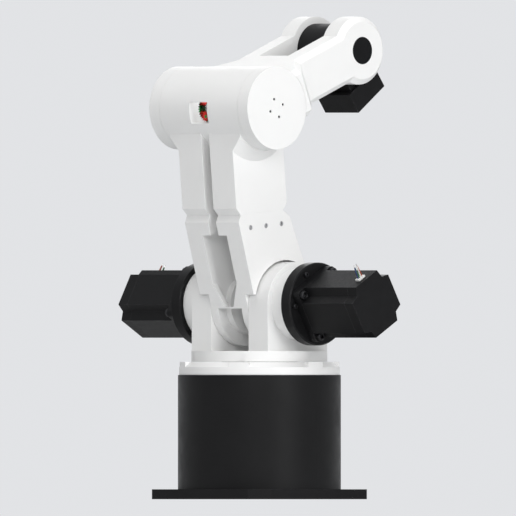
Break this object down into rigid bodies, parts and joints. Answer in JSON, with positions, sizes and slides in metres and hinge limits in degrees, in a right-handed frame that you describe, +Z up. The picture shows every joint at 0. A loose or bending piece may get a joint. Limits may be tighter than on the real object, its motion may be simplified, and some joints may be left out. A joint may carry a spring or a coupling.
{
  "type": "robot arm",
  "caption": "Table-top robot arm: turning base, twin-motor shoulder, kinked two-part upper arm, geared elbow, forked forearm, tilting wrist drive and turning tool flange.",
  "frame": {"origin": "middle of the base plate's underside", "axes": "+Z up and along the waist axis, X along the shoulder, elbow and wrist axles, +Y the way the forearm points at rest"},
  "size_m": [0.3314, 0.2403, 0.4826],
  "materials": {
    "white_plastic": "smooth matt white",
    "base_black": "black with a soft gloss",
    "gearbox_black": "black anodised",
    "motor_black": "black coated",
    "dark_screws": "blackened",
    "pale_screws": "zinc plated",
    "bearing_steel": "ground",
    "shaft_steel": "turned",
    "gear_green": "moulded green",
    "gear_red": "moulded red",
    "lead_block": "moulded",
    "lead_light": "sleeve",
    "lead_blue": "sleeve",
    "lead_red": "sleeve",
    "lead_green": "sleeve"
  },
  "bodies": {
    "base": {"base_plate": "base_black", "base_shell": "base_black", "base_screws": "dark_screws", "top_flange": "white_plastic", "flange_screws": "dark_screws", "slew_outer_ring": "bearing_steel", "waist_gearbox": "gearbox_black", "waist_motor_front": "motor_black", "waist_motor_body": "motor_black", "waist_motor_rear": "motor_black", "waist_motor_bolts": "dark_screws"},
    "turntable": {"turntable_disc": "white_plastic", "upright_screws": "dark_screws", "slew_inner_ring": "bearing_steel", "waist_hub": "shaft_steel", "waist_shaft": "shaft_steel", "upright_right": "white_plastic", "upright_left": "white_plastic", "shoulder_bearings": "bearing_steel", "shoulder_gearbox_right": "gearbox_black", "shoulder_gearbox_left": "gearbox_black", "gearbox_screws": "dark_screws", "motor_front_right": "motor_black", "motor_front_left": "motor_black", "motor_body_right": "motor_black", "motor_body_left": "motor_black", "motor_rear_right": "motor_black", "motor_rear_left": "motor_black", "motor_bolts": "dark_screws", "lead_blocks": "lead_block", "motor_leads_1": "lead_blue", "motor_leads_2": "lead_green", "motor_leads_3": "lead_light", "motor_leads_4": "lead_red"},
    "upper_arm": {"lower_link": "white_plastic", "upper_link": "white_plastic", "link_screws": "pale_screws", "shoulder_shafts": "shaft_steel", "housing_covers": "white_plastic", "elbow_bearings": "bearing_steel", "ring_gear": "white_plastic", "elbow_motor_plate": "shaft_steel", "elbow_motor": "motor_black"},
    "forearm": {"forearm_frame": "white_plastic", "hub_caps": "white_plastic", "cap_screws": "dark_screws", "planet_carrier": "gear_green", "elbow_shaft_left": "shaft_steel", "elbow_shaft_right": "shaft_steel", "wrist_caps": "motor_black", "wrist_bushes": "bearing_steel"},
    "wrist": {"wrist_axles": "shaft_steel", "wrist_drum": "motor_black", "tool_drive": "motor_black"},
    "tool": {"tool_flange": "shaft_steel", "tool_shaft": "shaft_steel"},
    "sun": {"sun_gear": "shaft_steel"},
    "planet_1": {"planet_gear_1": "gear_red"},
    "planet_2": {"planet_gear_2": "gear_red"},
    "planet_3": {"planet_gear_3": "gear_red"}
  },
  "joints": [
    {"name": "waist", "type": "hinge", "parent": "base", "child": "turntable", "pos_m": [0, 0, 0.1428], "axis": [0, 0, 1], "range_deg": [-170, 170]},
    {"name": "shoulder", "type": "hinge", "parent": "turntable", "child": "upper_arm", "pos_m": [0, 0, 0.1952], "axis": [1, 0, 0], "range_deg": [-68, 28]},
    {"name": "elbow", "type": "hinge", "parent": "upper_arm", "child": "forearm", "pos_m": [0, -0.0448, 0.3912], "axis": [1, 0, 0], "range_deg": [-12, 110]},
    {"name": "wrist", "type": "hinge", "parent": "forearm", "child": "wrist", "pos_m": [0, 0.101, 0.44863], "axis": [1, 0, 0], "range_deg": [-25, 175]},
    {"name": "tool_roll", "type": "hinge", "parent": "wrist", "child": "tool", "pos_m": [0, 0.13643, 0.40021], "axis": [0, 0.5906, -0.807], "continuous": true},
    {"name": "sun_spin", "type": "hinge", "parent": "upper_arm", "child": "sun", "pos_m": [0, -0.0448, 0.3912], "axis": [1, 0, 0], "range_deg": [-50, 445]},
    {"name": "planet_spin_1", "type": "hinge", "parent": "forearm", "child": "planet_1", "pos_m": [-0.0298, -0.04914, 0.38264], "axis": [1, 0, 0], "range_deg": [-335, 40]},
    {"name": "planet_spin_2", "type": "hinge", "parent": "forearm", "child": "planet_2", "pos_m": [-0.0298, -0.03521, 0.39172], "axis": [1, 0, 0], "range_deg": [-335, 40]},
    {"name": "planet_spin_3", "type": "hinge", "parent": "forearm", "child": "planet_3", "pos_m": [-0.0298, -0.05004, 0.39924], "axis": [1, 0, 0], "range_deg": [-335, 40]}
  ],
  "couplings": [
    {"joint": "sun_spin", "follows": "elbow", "ratio": 4},
    {"joint": "planet_spin_1", "follows": "elbow", "ratio": -3},
    {"joint": "planet_spin_2", "follows": "elbow", "ratio": -3},
    {"joint": "planet_spin_3", "follows": "elbow", "ratio": -3}
  ]
}
